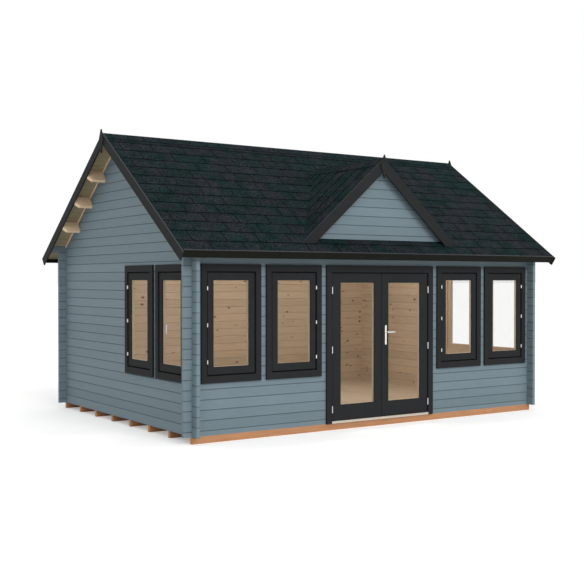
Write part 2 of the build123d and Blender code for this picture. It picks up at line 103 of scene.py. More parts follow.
@dataclass(frozen=True)
class HouseSizes:
    """The house's main planes, in metres."""

    x_out: float = 2.645
    y_out: float = 1.895
    wall: float = 0.044
    base: float = 0.080
    log_cover: float = 0.114
    top_log: float = 2.189
    top_log_height: float = 0.060
    pitch: float = math.radians(35.27)
    overhang: float = 0.243
    board: float = 0.018
    recess: float = 0.006
    shingle: float = 0.006
    gablet_pitch: float = math.radians(41.15)
    gablet_rise: float = 1.119
    gablet_overhang: float = 0.057
    opening_top: float = 1.902
    floor_cover: float = 0.1138
    leaf_face: float = -0.011
    leaf_depth: float = 0.042

    @property
    def x_in(self) -> float:
        """Inner face of the gable walls."""
        return self.x_out - self.wall

    @property
    def y_in(self) -> float:
        """Inner face of the long walls."""
        return self.y_out - self.wall

    @property
    def boards_top(self) -> float:
        """Depth of the roof boards' top under the roof's top plane."""
        return self.recess + self.shingle

    @property
    def boards_bottom(self) -> float:
        """Depth of the roof boards' underside."""
        return self.boards_top + self.board

    @property
    def ridge(self) -> float:
        """Height of the roof's top plane at the ridge."""
        over_wall = self.top_log + self.top_log_height + self.boards_bottom / math.cos(self.pitch)
        return over_wall + math.tan(self.pitch) * self.y_out

    @property
    def gablet_ridge(self) -> float:
        """Height of the gablet's top plane at its ridge."""
        return self.top_log + self.gablet_rise

    @property
    def x_roof(self) -> float:
        """Where the roof boards end, against the barge boards."""
        return self.x_out + self.overhang - self.board

    @property
    def slab(self) -> float:
        """Length of the roof boards' slope, from the ridge to the fascia."""
        return (self.y_out + self.overhang) / math.cos(self.pitch) - self.board


SIZES = HouseSizes()


# Node materials

@dataclass
class Layer:
    """What one finish gives to a material: colour, roughness and relief."""

    colour: Socket
    roughness: Socket
    height: Socket


class NodeSheet:
    """A node material under construction, with short calls for what the finishes share."""

    def __init__(self, name: str) -> None:
        """Starts a material with its shader, position and normal.

        Args:
            name: The material's name.
        """
        self.material = bpy.data.materials.new(name)
        self.material.use_nodes = True
        self.tree = self.material.node_tree
        self.shader = self.tree.nodes["Principled BSDF"]
        place = self.add("ShaderNodeTexCoord")
        self.position = place.outputs["Object"]
        self.normal = place.outputs["Normal"]

    def add(self, kind: str, **settings: object) -> bpy.types.Node:
        """A new node.

        Args:
            kind: Blender's type name of the node.
            settings: Attributes to set on it.

        Returns:
            The node.
        """
        node = self.tree.nodes.new(kind)
        for key, value in settings.items():
            setattr(node, key, value)
        return node

    def plug(self, socket: Socket, value: object) -> None:
        """Links a socket, or sets its plain value.

        Args:
            socket: The input.
            value: The output that it is linked to, or its value.
        """
        if isinstance(value, bpy.types.NodeSocket):
            self.tree.links.new(value, socket)
        else:
            socket.default_value = value

    def math(self, operation: str, *values: object) -> Socket:
        """A number worked out from others.

        Args:
            operation: The Math node's operation.
            values: Sockets or numbers.

        Returns:
            The result.
        """
        node = self.add("ShaderNodeMath", operation=operation)
        for socket, value in zip(node.inputs, values):
            self.plug(socket, value)
        return node.outputs[0]

    def split(self, vector: Socket) -> Sequence[Socket]:
        """A vector's three numbers.

        Args:
            vector: The vector.

        Returns:
            Its parts along X, Y and Z.
        """
        node = self.add("ShaderNodeSeparateXYZ")
        self.plug(node.inputs[0], vector)
        return node.outputs

    @cached_property
    def parts(self) -> Sequence[Socket]:
        """The position's three numbers."""
        return self.split(self.position)

    def stretched(self, run: Axis, fineness: Point, shift: Optional[Socket] = None) -> Socket:
        """The position, scaled for a pattern that is stretched along one axis.

        Args:
            run: The axis that the pattern runs along.
            fineness: The factor along that axis, and the factor across it.
            shift: What is then added on all axes.

        Returns:
            The vector.
        """
        along, across = fineness
        scaled = self.add("ShaderNodeVectorMath", operation="MULTIPLY_ADD")
        self.plug(scaled.inputs[0], self.position)
        scaled.inputs[1].default_value = [along if axis is run else across for axis in Axis]
        if shift is not None:
            self.plug(scaled.inputs[2], shift)
        return scaled.outputs[0]

    def noise(self, vector: Socket, scale: float, detail: float = 4.0, rough: float = 0.55,
              twist: float = 0.0) -> Socket:
        """Cloudy noise.

        Args:
            vector: Where it is read.
            scale: Its fineness.
            detail: Its octaves.
            rough: How strong the finer octaves are.
            twist: Its distortion.

        Returns:
            The noise, around 0.5.
        """
        node = self.add("ShaderNodeTexNoise")
        for key, value in (("Vector", vector), ("Scale", scale), ("Detail", detail),
                           ("Roughness", rough), ("Distortion", twist)):
            self.plug(node.inputs[key], value)
        return node.outputs["Fac"]

    def streaks(self, run: Axis, fineness: Point, shift: Optional[Socket], detail: float,
                rough: float, twist: float = 0.0) -> Socket:
        """Noise stretched along one axis, for grain and brush strokes.

        Args:
            run: The axis that it runs along.
            fineness: How fine it is along that axis, and across it.
            shift: What moves it.
            detail: Its octaves.
            rough: How strong the finer octaves are.
            twist: Its distortion.

        Returns:
            The noise, around 0.5.
        """
        return self.noise(self.stretched(run, fineness, shift), 1.0, detail, rough, twist)

    def remap(self, value: Socket, low: float, high: float, to_low: float = 0.0,
              to_high: float = 1.0, smooth: bool = False) -> Socket:
        """A number moved from one range to another, and held there.

        Args:
            value: The number.
            low: Start of its range.
            high: End of its range.
            to_low: What the start becomes.
            to_high: What the end becomes.
            smooth: Whether the ends are eased.

        Returns:
            The result.
        """
        node = self.add("ShaderNodeMapRange",
                        interpolation_type="SMOOTHSTEP" if smooth else "LINEAR")
        for socket, number in zip(node.inputs, (value, low, high, to_low, to_high)):
            self.plug(socket, number)
        return node.outputs[0]

    def mix(self, share: object, first: object, second: object, mode: str = "MIX") -> Socket:
        """Two colours mixed.

        Args:
            share: How much of the second.
            first: A colour or socket.
            second: A colour or socket.
            mode: The blending mode.

        Returns:
            The colour.
        """
        node = self.add("ShaderNodeMix", data_type="RGBA", blend_type=mode)
        for number, value in ((0, share), (6, first), (7, second)):
            self.plug(node.inputs[number], value)
        return node.outputs[2]

    def shade(self, colour: object, factor: Socket) -> Socket:
        """A colour made lighter or darker.

        Args:
            colour: A colour or socket.
            factor: What it is multiplied by.

        Returns:
            The colour.
        """
        grey = self.add("ShaderNodeCombineColor")
        for socket in grey.inputs:
            self.plug(socket, factor)
        return self.mix(1.0, colour, grey.outputs[0], "MULTIPLY")

    def lot(self, number: Socket, seed: float = 0.0) -> Socket:
        """A fixed random share for a whole number.

        Args:
            number: The whole number.
            seed: What tells one set of shares from another.

        Returns:
            The share, 0 to 1.
        """
        node = self.add("ShaderNodeTexWhiteNoise", noise_dimensions="1D")
        self.plug(node.inputs["W"], self.math("ADD", number, seed))
        return node.outputs["Value"]

    def attribute(self, name: str) -> Socket:
        """A number that the mesh holds for each face."""
        return self.add("ShaderNodeAttribute", attribute_name=name).outputs["Fac"]

    def close(self, layer: Layer, bump: float, gloss: float) -> Material:
        """Joins a layer to the shader.

        Args:
            layer: Colour, roughness and height.
            bump: Real height of the relief, in metres.
            gloss: Strength of the surface's plain gloss.

        Returns:
            The finished material.
        """
        self.plug(self.shader.inputs["Base Color"], layer.colour)
        self.plug(self.shader.inputs["Roughness"], layer.roughness)
        relief = self.add("ShaderNodeBump")
        relief.inputs["Distance"].default_value = bump
        self.plug(relief.inputs["Height"], layer.height)
        self.plug(self.shader.inputs["Normal"], relief.outputs[0])
        self.shader.inputs["Specular IOR Level"].default_value = gloss
        return self.material


class Finish(Protocol):
    """Anything that can be laid on a sheet."""

    def lay(self, sheet: NodeSheet) -> Layer:
        """Adds its nodes to the sheet and gives its layer."""


@dataclass(frozen=True)
class Courses:
    """Boards or logs side by side, counted along an axis."""

    axis: Axis = Axis.Z
    pitch: float = 10.0
    start: float = -5.0

    def counted(self, sheet: NodeSheet) -> Socket:
        """The position along the axis, counted in boards from the start."""
        return sheet.math("MULTIPLY_ADD", sheet.parts[self.axis.value], 1 / self.pitch,
                          -self.start / self.pitch)

    def number(self, sheet: NodeSheet) -> Socket:
        """Which board a point is on."""
        return sheet.math("FLOOR", self.counted(sheet))

    def seamed(self, sheet: NodeSheet, tone: Socket, width: float, left: float) -> Socket:
        """A tone that is darker at the joints between boards.

        Args:
            sheet: The material.
            tone: The tone.
            width: Width of the dark joints, or 0 for none.
            left: What is left of the tone in a joint.

        Returns:
            The result.
        """
        if not width:
            return tone
        share = sheet.math("FRACT", self.counted(sheet))
        from_middle = sheet.math("ABSOLUTE", sheet.math("SUBTRACT", share, 0.5))
        from_joint = sheet.math("SUBTRACT", 0.5, from_middle)
        seam = sheet.remap(from_joint, 0.0, width / self.pitch, 1.0, 0.0, True)
        return sheet.math("MULTIPLY", tone, sheet.remap(seam, 0.0, 1.0, 1.0, left))


@dataclass(frozen=True)
class Timber:
    """Planed softwood with growth rings, streaks and knots.

    Each fineness is given along the grain and across it. Knots lie in the plane of the grain
    and of the axis across it, where one is named.
    """

    grain: Axis
    light: Colour
    dark: Colour
    knot: Colour = (112, 70, 44)
    courses: Courses = Courses()
    spread: float = 0.1
    knots: float = 0.09
    share: float = 0.2
    joint: float = 0.0
    across: Optional[Axis] = None
    seam: float = 0.72
    sheen: float = 0.56
    ring_count: float = 75.0
    contour: Point = (0.55, 7.0)
    streak: Point = (3.0, 95.0)
    fibre: Point = (14.0, 420.0)
    cell: Point = (4.6, 7.5)

    def knotted(self, sheet: NodeSheet, bare: Socket, shift: Socket) -> Socket:
        """The wood's colour with its knots, each with a dark heart and a warm halo.

        Args:
            sheet: The material.
            bare: The colour without knots.
            shift: What moves the knots from board to board.

        Returns:
            The colour.
        """
        spots = sheet.add("ShaderNodeTexVoronoi")
        cells = sheet.stretched(self.grain, self.cell, shift)
        if self.across is not None:
            spots.voronoi_dimensions = "2D"
            parts = sheet.split(cells)
            flat = sheet.add("ShaderNodeCombineXYZ")
            sheet.plug(flat.inputs[0], parts[self.grain.value])
            sheet.plug(flat.inputs[1], parts[self.across.value])
            cells = flat.outputs[0]
        sheet.plug(spots.inputs["Vector"], cells)
        spots.inputs["Scale"].default_value = 1.0
        pick = sheet.add("ShaderNodeSeparateColor")
        sheet.plug(pick.inputs[0], spots.outputs["Color"])
        own = sheet.remap(pick.outputs[0], 1 - 2 * self.share, 1.0, 0.0, self.knots)
        near = sheet.math("SUBTRACT", spots.outputs["Distance"], own)
        there = sheet.math("GREATER_THAN", own, self.knots * 0.2)
        halo = sheet.remap(near, 0.0, self.knots * 0.9, 0.5, 0.0, True)
        heart = sheet.remap(near, -self.knots * 0.25, self.knots * 0.2, 0.92, 0.0, True)
        warm = srgb([0.55 * wood + 0.45 * knot for wood, knot in zip(self.dark, self.knot)])
        ringed = sheet.mix(sheet.math("MULTIPLY", halo, there), bare, warm)
        return sheet.mix(sheet.math("MULTIPLY", heart, there), ringed, srgb(self.knot))

    def lay(self, sheet: NodeSheet) -> Layer:
        """Rings, streaks and knots, each board of its own tone.

        Args:
            sheet: The material.

        Returns:
            The wood's layer.
        """
        lot = sheet.lot(self.courses.number(sheet))
        shift = sheet.math("MULTIPLY", lot, 61.0)
        contours = sheet.streaks(self.grain, self.contour, shift, 2.0, 0.4, 0.3)
        rings = sheet.math("SINE", sheet.math("MULTIPLY", contours, self.ring_count))
        streaks = sheet.streaks(self.grain, self.streak, shift, 5.0, 0.65)
        fibre = sheet.streaks(self.grain, self.fibre, shift, 3.0, 0.6)
        depth = sheet.math("MULTIPLY_ADD", rings, 0.07, sheet.remap(streaks, 0.3, 0.7, 0.2, 0.7))
        bare = sheet.mix(depth, srgb(self.light), srgb(self.dark))
        tone = sheet.remap(lot, 0.0, 1.0, 1 - self.spread, 1 + self.spread * 0.4)
        cloud = sheet.remap(sheet.noise(sheet.position, 1.3, 2.0), 0.3, 0.7, 0.95, 1.05)
        tone = self.courses.seamed(sheet, sheet.math("MULTIPLY", tone, cloud), self.joint,
                                   self.seam)
        colour = sheet.shade(self.knotted(sheet, bare, shift), tone)
        rough = sheet.math("MULTIPLY_ADD", streaks, 0.22, self.sheen - 0.11)
        height = sheet.math("MULTIPLY_ADD", fibre, 0.5, sheet.math("MULTIPLY", streaks, 0.8))
        return Layer(colour, rough, height)


@dataclass(frozen=True)
class WoodPaint:
    """Wood paint with the grain showing through, dulled by weather.

    The top highlight colour, where one is named, is painted on faces that point up, as a painted
    highlight for the sky light they catch.
    """

    grain: Axis
    colour: Colour
    worn: Colour
    courses: Courses = Courses()
    joint: float = 0.0
    top_highlight: Optional[Colour] = None
    seam: float = 0.55
    spread: float = 0.05
    sheen: float = 0.5
    streak: Point = (4.0, 110.0)
    stroke: Point = (14.0, 385.0)

    def lay(self, sheet: NodeSheet) -> Layer:
        """Paint over faint grain, a tone for each log and darker joints.

        Args:
            sheet: The material.

        Returns:
            The paint's layer.
        """
        lot = sheet.lot(self.courses.number(sheet), 3.0)
        shift = sheet.math("MULTIPLY", lot, 43.0)
        streaks = sheet.streaks(self.grain, self.streak, shift, 5.0, 0.6)
        brush = sheet.streaks(self.grain, self.stroke, shift, 3.0, 0.6)
        cloud = sheet.noise(sheet.position, 2.1, 4.0, 0.6)
        weather = sheet.math("MULTIPLY_ADD", sheet.remap(streaks, 0.42, 0.72), 0.3,
                             sheet.remap(cloud, 0.35, 0.75, 0.1, 0.5))
        base = sheet.mix(weather, srgb(self.colour), srgb(self.worn))
        # Painted highlight: faces that point up get a lighter colour, for the sky light that they
        # catch.
        if self.top_highlight:
            skyward = sheet.remap(sheet.split(sheet.normal)[Axis.Z.value], 0.6, 0.8)
            base = sheet.mix(skyward, base, srgb(self.top_highlight))
        tone = sheet.remap(lot, 0.0, 1.0, 1 - self.spread, 1 + self.spread)
        tone = sheet.math("MULTIPLY", tone, sheet.remap(streaks, 0.3, 0.7, 0.975, 1.025))
        colour = sheet.shade(base, self.courses.seamed(sheet, tone, self.joint, self.seam))
        rough = sheet.math("MULTIPLY_ADD", cloud, 0.18, self.sheen - 0.09)
        height = sheet.math("MULTIPLY_ADD", brush, 0.5, sheet.math("MULTIPLY", streaks, 0.9))
        return Layer(colour, rough, height)


@dataclass(frozen=True)
class Granules:
    """Bitumen shingle with two colours of mineral grains, blended in patches."""

    green: Colour = (19, 37, 37)
    slate: Colour = (35, 38, 43)
    drift: float = 2.6
    patch: float = 6.0
    coarse: float = 72.0
    fine: float = 190.0

    def lay(self, sheet: NodeSheet) -> Layer:
        """Grains, patches that change from tab to tab, and painted shade along the laps.

        Args:
            sheet: The material.

        Returns:
            The shingle's layer.
        """
        tone, lap_shade = sheet.attribute("tone"), sheet.attribute("lap_shade")
        drift = sheet.noise(sheet.position, self.drift, 3.0, 0.6, 0.4)
        patch = sheet.noise(sheet.position, self.patch, 2.0, 0.5)
        coarse = sheet.noise(sheet.position, self.coarse, 0.0, 0.5)
        fine = sheet.noise(sheet.position, self.fine, 2.0, 0.7)
        pick = sheet.math("MULTIPLY_ADD", tone, 0.12,
                          sheet.math("ADD", drift, sheet.math("MULTIPLY", patch, 0.45)))
        base = sheet.mix(sheet.remap(pick, 0.6, 0.96, 0.0, 1.0, True), srgb(self.green),
                         srgb(self.slate))
        grit = sheet.math("MULTIPLY", sheet.remap(coarse, 0.37, 0.63, 0.35, 1.7),
                          sheet.remap(fine, 0.35, 0.65, 0.6, 1.45))
        cloud = sheet.remap(patch, 0.35, 0.65, 0.88, 1.12)
        # Painted shade: marked faces darken down to 0.42 at the tabs' lower edges, beside the
        # slots, at the caps' lips and edges and on the felt.
        dark = sheet.remap(lap_shade, 0.0, 1.0, 1.0, 0.42)
        own = sheet.math("MULTIPLY", sheet.remap(tone, 0.0, 1.0, 1.08, 0.94), cloud)
        factor = sheet.math("MULTIPLY", sheet.math("MULTIPLY", grit, dark), own)
        rough = sheet.remap(fine, 0.3, 0.7, 0.82, 0.98)
        height = sheet.math("MULTIPLY_ADD", coarse, 0.5, fine)
        return Layer(sheet.shade(base, factor), rough, height)


@dataclass(frozen=True)
class SatinMetal:
    """Brushed metal with fine scratches and faint handling marks."""

    tint: Colour = (236, 236, 234)
    roughness: float = 0.32
    stroke: Axis = Axis.Z
    scratch: Point = (60.0, 1500.0)

    def lay(self, sheet: NodeSheet) -> Layer:
        """Brush strokes and smears.

        Args:
            sheet: The material.

        Returns:
            The metal's layer.
        """
        sheet.shader.inputs["Metallic"].default_value = 1.0
        strokes = sheet.streaks(self.stroke, self.scratch, None, 3.0, 0.6)
        smears = sheet.noise(sheet.position, 45.0, 3.0, 0.6)
        colour = sheet.shade(srgb(self.tint), sheet.remap(smears, 0.3, 0.7, 0.9, 1.05))
        rough = sheet.math("MULTIPLY_ADD", smears, 0.16, self.roughness - 0.08)
        return Layer(colour, rough, strokes)


@dataclass(frozen=True)
class Rubber:
    """Black glazing gasket."""

    tint: Colour = (24, 24, 25)

    def lay(self, sheet: NodeSheet) -> Layer:
        """Dull rubber with dusty patches.

        Args:
            sheet: The material.

        Returns:
            The rubber's layer.
        """
        dust = sheet.noise(sheet.position, 30.0, 4.0, 0.6)
        colour = sheet.shade(srgb(self.tint), sheet.remap(dust, 0.3, 0.7, 0.8, 1.4))
        return Layer(colour, sheet.remap(dust, 0.3, 0.7, 0.55, 0.75), dust)


@dataclass(frozen=True)
class ClearPane:
    """Clear glass: what it mirrors grows towards grazing angles, the rest shows through."""

    tint: Colour = (238, 243, 245)
    mirror: float = 0.3
    film: Point = (0.05, 0.06)

    def material(self, name: str) -> Material:
        """Makes the pane's material.

        Args:
            name: Its name.

        Returns:
            The material.
        """
        sheet = NodeSheet(name)
        shader = sheet.shader
        fresnel = sheet.add("ShaderNodeFresnel").outputs[0]
        behind = sheet.add("ShaderNodeNewGeometry").outputs["Backfacing"]
        film = sheet.noise(sheet.position, 3.0, 4.0, 0.6)
        facing = sheet.math("MULTIPLY", fresnel, sheet.math("SUBTRACT", 1.0, behind))
        mirrored = sheet.math("MULTIPLY", facing, self.mirror)
        alpha = sheet.math("ADD", mirrored, sheet.remap(film, 0.3, 0.7, *self.film))
        share = sheet.remap(sheet.math("DIVIDE", mirrored, alpha), 0.0, 1.0, 0.02, 0.9)
        shader.inputs["Metallic"].default_value = 1.0
        sheet.plug(shader.inputs["Base Color"], sheet.shade(srgb(self.tint), share))
        sheet.plug(shader.inputs["Roughness"], sheet.remap(film, 0.3, 0.7, 0.02, 0.05))
        sheet.plug(shader.inputs["Alpha"], alpha)
        return sheet.material


def indoors(sheet: NodeSheet, margin: float = 0.0015, rim: float = 0.01) -> Socket:
    """1 on the faces that look into the room, up to the inner faces of sashes and leaves.

    Args:
        sheet: The material.
        margin: How far past the inner faces of sashes and leaves the room reaches.
        rim: How far short of the walls a face that looks outwards is already outdoors.

    Returns:
        The mask.
    """
    reach = SIZES.wall - SIZES.leaf_face - SIZES.leaf_depth + margin
    normal = sheet.split(sheet.normal)
    room = None
    for axis, plane in ((Axis.X, SIZES.x_in), (Axis.Y, SIZES.y_in)):
        place = sheet.parts[axis.value]
        far = sheet.math("ABSOLUTE", place)
        outward = sheet.math("MULTIPLY", sheet.math("SIGN", place), normal[axis.value])
        turned = sheet.math("MULTIPLY", sheet.math("GREATER_THAN", outward, 0.5),
                            sheet.math("GREATER_THAN", far, plane - rim))
        inside = sheet.math("SUBTRACT", sheet.math("LESS_THAN", far, plane + reach), turned)
        room = inside if room is None else sheet.math("MULTIPLY", room, inside)
    return sheet.math("MAXIMUM", room, 0.0)


def coated(name: str, outside: Finish, inside: Optional[Finish] = None, bump: float = 0.0006,
           gloss: float = 0.25) -> Material:
    """A material of one finish, or of two with the second indoors.

    Args:
        name: The material's name.
        outside: The finish, or the finish outdoors.
        inside: The finish on faces that look into the room.
        bump: Real height of the relief, in metres.
        gloss: Strength of the surface's plain gloss.

    Returns:
        The material.
    """
    sheet = NodeSheet(name)
    layer = outside.lay(sheet)
    if inside:
        room = indoors(sheet)
        second = inside.lay(sheet)

        def between(first: Socket, other: Socket) -> Socket:
            """The first number outdoors, the other indoors."""
            return sheet.math("MULTIPLY_ADD", sheet.math("SUBTRACT", other, first), room, first)

        layer = Layer(sheet.mix(room, layer.colour, second.colour),
                      between(layer.roughness, second.roughness),
                      between(layer.height, second.height))
    return sheet.close(layer, bump, gloss)


class Palette:
    """Every material of the house, made once."""

    def __init__(self) -> None:
        """Builds the materials."""
        logs = Courses(Axis.Z, SIZES.log_cover, SIZES.base - SIZES.log_cover / 2)
        gable_logs = Courses(Axis.Z, SIZES.log_cover, SIZES.base)
        blue, worn = (110, 127, 135), (120, 135, 142)
        # The third anthracite colour is a painted highlight for faces that point up.
        dark, rubbed, top_highlight = (40, 41, 42), (47, 48, 49), (64, 66, 69)
        room = (217, 199, 173), (190, 165, 137)
        blue_gloss, dark_gloss, groove = 0.08, 0.02, 0.009
        metal_bump, metal_gloss = 0.00004, 0.5

        def log_wall(name: str, grain: Axis, courses: Courses) -> Material:
            """Blue-grey logs outdoors, and the same logs in bare pine indoors."""
            return coated(name, WoodPaint(grain, blue, worn, courses, groove),
                          Timber(grain, *room, courses=courses, joint=0.007, knots=0.105,
                                 share=0.18, across=Axis.Z), gloss=blue_gloss)

        self.long_wall = log_wall("blue_grey_logs_along_x", Axis.X, logs)
        self.gable_wall = log_wall("blue_grey_logs_along_y", Axis.Y, gable_logs)
        self.gablet = coated("blue_grey_gablet", WoodPaint(Axis.X, blue, worn, gable_logs, groove),
                             gloss=blue_gloss)
        self.dark_along_x, self.dark_along_y = (
            coated(f"anthracite_along_{axis.name.lower()}",
                   WoodPaint(axis, dark, rubbed, top_highlight=top_highlight), gloss=dark_gloss)
            for axis in (Axis.X, Axis.Y))
        # Painted shade: the fascia's paint is darker than the other anthracite, for the shade on
        # its downward-facing face.
        self.fascia = coated(
            "anthracite_fascia",
            WoodPaint(Axis.X, (26, 26, 23), (33, 33, 30), top_highlight=top_highlight), gloss=0.03)
        self.joinery = coated("anthracite_joinery", WoodPaint(Axis.Z, dark, rubbed),
                              Timber(Axis.Z, *room, knots=0.05), gloss=dark_gloss)
        # Painted shade: the roof boards' pine is darker than the room's pine, for the shade under
        # the eaves; the gablet boards wear it too.
        self.roof_boards = coated("pine_roof_boards", Timber(
            Axis.X, (168, 157, 126), (138, 123, 94), courses=Courses(Axis.Z, 0.0567, 0.0)))
        self.floor = coated("pine_floor", Timber(
            Axis.Y, *room, courses=Courses(Axis.X, SIZES.floor_cover, 0.0)), gloss=0.4)
        # Painted light: the purlins' pine is lighter than the room's pine, for the light that their
        # ends catch; the gable strips wear it too.
        self.purlin = coated("pine_purlins", Timber(
            Axis.X, (246, 222, 190), (230, 192, 156), knots=0.06))
        self.bead = coated("pine_beads", Timber(Axis.Z, *room, knots=0.03))
        self.treated = coated("treated_timber", Timber(
            Axis.X, (198, 147, 107), (160, 110, 73), (96, 56, 34), Courses(Axis.Y, 0.535, -2.2),
            spread=0.12, knots=0.08))
        self.shingle = coated("mineral_shingle", Granules(), bump=0.0016, gloss=0.04)
        self.glass = ClearPane().material("window_pane")
        self.silver = coated("satin_steel", SatinMetal(), bump=metal_bump, gloss=metal_gloss)
        self.sill = coated("mill_aluminium", SatinMetal((205, 196, 182), 0.42, Axis.X),
                           bump=metal_bump, gloss=metal_gloss)
        self.rubber = coated("black_gasket", Rubber(), bump=0.0002)


# Meshes

class MeshDraft:
    """Points and faces gathered for one piece."""

    def __init__(self) -> None:
        """Starts empty."""
        self.points: list[Vector] = []
        self.faces: list[list[int]] = []
        self.tones: list[float] = []
        self.lap_shades: list[float] = []

    def loft(self, rings: Sequence[Sequence[Vector]], tone: float = 0.0, lap_shade: float = 0.0,
             caps: bool = True) -> None:
        """A closed skin through rings of as many points each.

        Args:
            rings: The rings, in order.
            tone: The skin's own random share.
            lap_shade: How much painted shade darkens the skin.
            caps: Whether the first and last rings are closed.
        """
        start, count = len(self.points), len(rings[0])
        for ring in rings:
            self.points.extend(ring)
        made = []
        for row in range(len(rings) - 1):
            low = start + row * count
            for k in range(count):
                after = (k + 1) % count
                made.append([low + k, low + after, low + count + after, low + count + k])
        if caps:
            made.append([start + k for k in reversed(range(count))])
            made.append([start + (len(rings) - 1) * count + k for k in range(count)])
        self.faces.extend(made)
        self.tones.extend([tone] * len(made))
        self.lap_shades.extend([lap_shade] * len(made))

    def piece(self, name: str, material: Material, body: Body, slot: Slot,
              replaces: Sequence[str] = (), smooth: float = 0.0, soften: float = 0.0) -> None:
        """Makes the piece, dresses it and lets it ride.

        Args:
            name: The piece's name.
            material: Its material.
            body: The body that it rides on.
            slot: The record's slot for its finish; not used.
            replaces: CAD nodes that it stands for.
            smooth: Angle under which edges are shaded smooth, in degrees.
            soften: Width of a bevel on its edges, in metres.
        """
        mesh = bpy.data.meshes.new(name)
        mesh.from_pydata([tuple(p) for p in self.points], [], self.faces)
        # Each face's random tone and its share of painted shade go onto the mesh.
        for key, values in (("tone", self.tones), ("lap_shade", self.lap_shades)):
            mesh.attributes.new(key, "FLOAT", "FACE").data.foreach_set("value", values)
        shape = bmesh.new()
        shape.from_mesh(mesh)
        bmesh.ops.remove_doubles(shape, verts=shape.verts, dist=1e-6)
        bmesh.ops.recalc_face_normals(shape, faces=shape.faces)
        if soften:
            sharp = [e for e in shape.edges if e.is_manifold and e.calc_face_angle(0) > 0.5]
            bmesh.ops.bevel(shape, geom=sharp, offset=soften, segments=2, affect="EDGES",
                            profile=0.6, clamp_overlap=True)
        shape.to_mesh(mesh)
        shape.free()
        mesh.materials.append(material)
        made = bpy.data.objects.new(name, mesh)
        bpy.context.scene.collection.objects.link(made)
        if smooth:
            mesh.shade_smooth()
            mesh.set_sharp_from_angle(angle=math.radians(smooth))
        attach(made, body.value)
        if replaces:
            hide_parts(*replaces)
        LOG.info("%s rides on %s, %d faces", name, body.value, len(mesh.polygons))


def clipped(outline: Sequence[Point], limit: Limit) -> list[Point]:
    """The part of a flat outline on the kept side of a line.

    Args:
        outline: The corners, in order.
        limit: (a, b, c), which keeps the points where a times u plus b times v is at most c.

    Returns:
        The corners that are left.
    """
    a, b, c = limit
    kept = []
    for (u0, v0), (u1, v1) in zip(outline, list(outline[1:]) + [outline[0]]):
        side0, side1 = a * u0 + b * v0 - c, a * u1 + b * v1 - c
        if side0 <= 0:
            kept.append((u0, v0))
        if side0 * side1 < 0:
            t = side0 / (side0 - side1)
            kept.append((u0 + t * (u1 - u0), v0 + t * (v1 - v0)))
    return kept


@dataclass(frozen=True)
class Slope:
    """A roof slope, measured along its ridge, down from it and into the roof."""

    apex: Vector
    run: Vector
    down: Vector
    inward: Vector
    limits: tuple[Limit, ...] = ()

    @classmethod
    def main(cls, side: int) -> "Slope":
        """One slope of the house's roof.

        Args:
            side: -1 for the front, 1 for the back.

        Returns:
            The slope.
        """
        sin, cos = math.sin(SIZES.pitch), math.cos(SIZES.pitch)
        return cls(Vector((0, 0, SIZES.ridge)), RIGHT, Vector((0, side * cos, -sin)),
                   Vector((0, -side * sin, -cos)))

    @classmethod
    def gablet(cls, side: int) -> "Slope":
        """One slope of the gablet's roof, cut by the main roof.

        Args:
            side: -1 for the left, 1 for the right.

        Returns:
            The slope, with its run counted from the ridge of the house to the front.
        """
        sin, cos = math.sin(SIZES.gablet_pitch), math.cos(SIZES.gablet_pitch)
        reach = SIZES.gablet_ridge - SIZES.ridge + SIZES.recess / math.cos(SIZES.pitch) + 0.004
        return cls(Vector((0, 0, SIZES.gablet_ridge)), -BACK, Vector((side * cos, 0, -sin)),
                   Vector((-side * sin, 0, -cos)), ((-math.tan(SIZES.pitch), sin, reach),))

    def turned(self, start: float) -> "Slope":
        """The same slope, with its courses counted along the ridge instead of down from it.

        Args:
            start: Where along the ridge the count starts.

        Returns:
            The slope, turned.
        """
        limits = tuple((b, a, c - a * start) for a, b, c in self.limits)
        return Slope(self.apex + self.run * start, self.down, self.run, self.inward, limits)

    def point(self, run: float, along: float, depth: float) -> Vector:
        """A point of the roof.

        Args:
            run: Distance along the ridge.
            along: Distance down the slope.
            depth: Distance into the roof from its top plane.

        Returns:
            The point in the shared frame.
        """
        return self.apex + self.run * run + self.down * along + self.inward * depth

    def bar(self, section: Sequence[Point], ends: Point) -> list[list[Vector]]:
        """The end rings of a bar along the house's ridge, cut upright where it meets the ridge.

        Args:
            section: Its corners, as distances down the slope and into the roof.
            ends: Where it starts and ends along the ridge.

        Returns:
            The two rings.
        """
        return [[self.point(run, max(along, depth * math.tan(SIZES.pitch)), depth)
                 for along, depth in section] for run in ends]

    def flake(self, draft: MeshDraft, runs: Point, rows: Point, tops: Point, bottoms: Point,
              ends: Point, tone: float, lap_shade: float) -> None:
        """A piece of a thin wedge that lies on the slope, cut by the slope's limits.

        Args:
            draft: Where it is added.
            runs: Where the piece starts and ends along the ridge.
            rows: Where the piece starts and ends down the slope.
            tops: Depth of the wedge's top at its upper and lower end.
            bottoms: Depth of its underside, likewise.
            ends: Where the wedge's upper and lower ends are, down the slope.
            tone: Its own random share.
            lap_shade: How much painted shade darkens it.
        """
        outline = [(runs[0], rows[0]), (runs[1], rows[0]), (runs[1], rows[1]), (runs[0], rows[1])]
        for limit in self.limits:
            outline = clipped(outline, limit)
        if len(outline) < 3:
            return

        def level(depths: Point, along: float) -> float:
            """Depth at a distance down the slope."""
            share = (along - ends[0]) / (ends[1] - ends[0])
            return depths[0] + share * (depths[1] - depths[0])

        draft.loft([[self.point(run, along, level(depths, along)) for run, along in outline]
                    for depths in (bottoms, tops)], tone, lap_shade)


# Sub-assemblies

